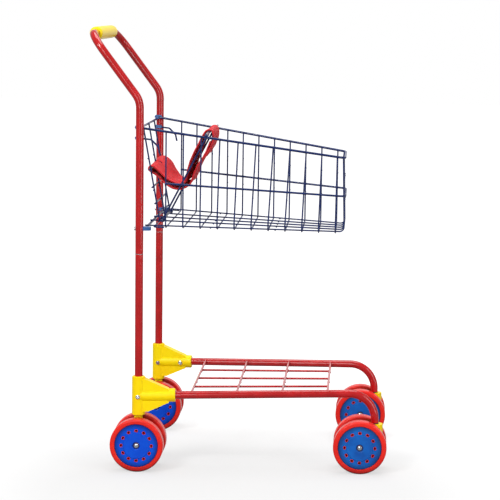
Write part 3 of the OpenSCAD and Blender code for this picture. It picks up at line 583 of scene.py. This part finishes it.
def make_seam_highlight_rings(name, radius, wire, sides=48, facets=8):
    """A ring of bright plated steel in each upright's seam at the handle tube's end, a painted highlight
    that stands for the glint there.
    """
    verts, faces = [], []
    for post in ("upright_left", "upright_right"):
        low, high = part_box(post)
        middle = Vector(((low.x + high.x) / 2, (low.y + high.y) / 2, high.z))
        start = len(verts)
        for k in range(sides):
            turn = 2 * math.pi * k / sides
            away = Vector((math.cos(turn), math.sin(turn), 0.0))
            for m in range(facets):
                tilt = 2 * math.pi * m / facets
                verts.append(middle + (away * (radius + wire * math.cos(tilt))
                                       + Vector((0, 0, wire * math.sin(tilt)))) * MM)
                p, q = k * facets + m, k * facets + (m + 1) % facets
                after = facets if k < sides - 1 else facets - sides * facets
                faces.append((start + p, start + q, start + q + after, start + p + after))
    return mesh_piece(name, verts, faces, FINISHES["chrome_steel"])


# Radii in millimetres: the bright ring of painted highlight, its wire and the beads.
SEAM_R, EDGE_R = 4.85, 0.45
BASKET_BEAD_R, RACK_BEAD_R = 1.15, 1.9

# Painted highlight: a bright metal ring stands in each seam for the glint there.
edges = make_seam_highlight_rings("seam_highlight_rings", SEAM_R, EDGE_R)
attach(edges, "root")
weld("basket_weld_beads", BASKET_WELDS, BASKET_BEAD_R, "wire_paint")
weld("rack_weld_beads", RACK_WELDS, RACK_BEAD_R, "frame_paint")


# ---------- Studio ----------

# How bright the world is to matt surfaces and the dim room in reflections, and the floor's own glow:
# its level near the cart, the distances in metres between which it rises to full, and its half width.
WORLD_LIGHT = 0.5
ROOM_LIGHT = 0.35
# The glow near the cart is below 1, which paints a grey pool of shade on the floor there.
FLOOR_GLOW = 0.6
GLOW_FROM, GLOW_FULL = 0.22, 0.75
FLOOR_HALF = 9.0


def sweep(tree, toward):
    """How bright the studio is toward a direction's Y: white behind the cart, dim elsewhere."""
    span = add(tree, "ShaderNodeMapRange",
               {"Value": toward, "From Min": 0.86, "From Max": 0.97, "To Min": ROOM_LIGHT, "To Max": 1.0})
    return span.outputs["Result"]


def seen_direct(tree, seen):
    """1 for rays that come straight from the camera or through a clear part, else 0."""
    return add(tree, "ShaderNodeMath", {0: seen["Is Camera Ray"], 1: seen["Is Transmission Ray"]},
               operation="MAXIMUM").outputs[0]


def make_floor():
    """A white floor that shows the cart's soft shadow. It glows to the eye, more with distance, so that a
    painted grey pool of shade lies round the cart.
    """
    material = bpy.data.materials.new("white_sweep")
    material.use_nodes = True
    tree = material.node_tree
    tree.nodes.clear()
    seen = add(tree, "ShaderNodeLightPath").outputs
    incoming = add(tree, "ShaderNodeNewGeometry").outputs["Incoming"]
    back = add(tree, "ShaderNodeSeparateXYZ", {"Vector": incoming}).outputs["Y"]
    away = add(tree, "ShaderNodeMath", {0: back, 1: -1.0}, operation="MULTIPLY")
    mirrored = add(tree, "ShaderNodeMath", {0: seen["Is Glossy Ray"], 1: sweep(tree, away.outputs[0])},
                   operation="MULTIPLY")
    place = add(tree, "ShaderNodeNewGeometry").outputs["Position"]
    # Painted shade: the glow is lowest near a spot just before the cart, leaving a grey pool round it.
    far = add(tree, "ShaderNodeVectorMath", {0: place, 1: (0.0, -0.25, 0.0)}, operation="DISTANCE")
    level = add(tree, "ShaderNodeMapRange",
                {"Value": far.outputs["Value"], "From Min": GLOW_FROM, "From Max": GLOW_FULL,
                 "To Min": FLOOR_GLOW, "To Max": 1.0})
    lift = add(tree, "ShaderNodeMath", {0: seen_direct(tree, seen), 1: level.outputs["Result"]},
               operation="MULTIPLY")
    matt = add(tree, "ShaderNodeBsdfDiffuse", {"Color": linear("#8C8C8C")})
    glow = add(tree, "ShaderNodeEmission", {"Color": [1, 1, 1, 1], "Strength": lift.outputs[0]})
    both = add(tree, "ShaderNodeAddShader", {0: matt.outputs[0], 1: glow.outputs[0]})
    sheen = add(tree, "ShaderNodeEmission", {"Color": [1, 1, 1, 1], "Strength": mirrored.outputs[0]})
    either = add(tree, "ShaderNodeMixShader", {"Fac": seen["Is Glossy Ray"], 1: both.outputs[0],
                                               2: sheen.outputs[0]})
    add(tree, "ShaderNodeOutputMaterial", {"Surface": either.outputs[0]})
    verts = [(-FLOOR_HALF, -FLOOR_HALF, 0), (FLOOR_HALF, -FLOOR_HALF, 0), (FLOOR_HALF, FLOOR_HALF, 0),
             (-FLOOR_HALF, FLOOR_HALF, 0)]
    floor = mesh_piece("floor", verts, [(0, 1, 2, 3)], material)


def make_world():
    """White to look at. In reflections it is a white sweep behind the cart and a dim room elsewhere."""
    world = bpy.data.worlds.new("studio")
    scene.world = world
    world.use_nodes = True
    tree = world.node_tree
    tree.nodes.clear()
    seen = add(tree, "ShaderNodeLightPath").outputs
    way = add(tree, "ShaderNodeTexCoord").outputs["Generated"]
    back = add(tree, "ShaderNodeSeparateXYZ", {"Vector": way}).outputs["Y"]
    lit = add(tree, "ShaderNodeMix",
              {"Factor": seen["Is Glossy Ray"], "A": WORLD_LIGHT, "B": sweep(tree, back)})
    strength = add(tree, "ShaderNodeMix",
                   {"Factor": seen_direct(tree, seen), "A": lit.outputs["Result"], "B": 1.0})
    glow = add(tree, "ShaderNodeBackground",
               {"Color": [1, 1, 1, 1], "Strength": strength.outputs["Result"]})
    add(tree, "ShaderNodeOutputWorld", {"Surface": glow.outputs[0]})


def soft_box(name, place, target, size, power):
    """A soft area lamp that points from place to target."""
    lamp = bpy.data.objects.new(name, bpy.data.lights.new(name, "AREA"))
    scene.collection.objects.link(lamp)
    lamp.data.shape = "RECTANGLE"
    lamp.data.size, lamp.data.size_y = size
    lamp.data.energy = power
    lamp.location = place
    lamp.rotation_mode = "QUATERNION"
    lamp.rotation_quaternion = (Vector(target) - Vector(place)).to_track_quat("-Z", "Y")


def make_lights():
    """The key from the left above, a broad front light, a tall strip at the right and a top light."""
    middle = (0.0, 0.0, 0.3)
    soft_box("key", (-1.0, -1.7, 1.7), middle, (0.5, 0.5), 26.0)
    soft_box("front", (-0.5, -2.9, 0.9), middle, (1.0, 1.4), 18.0)
    soft_box("strip", (1.8, -1.2, 0.95), (0.0, 0.0, 0.95), (0.45, 1.9), 14.0)
    soft_box("top", (0.1, 0.4, 2.4), middle, (1.6, 1.6), 30.0)


make_floor()
make_world()
make_lights()
scene.view_settings.view_transform = "Standard"
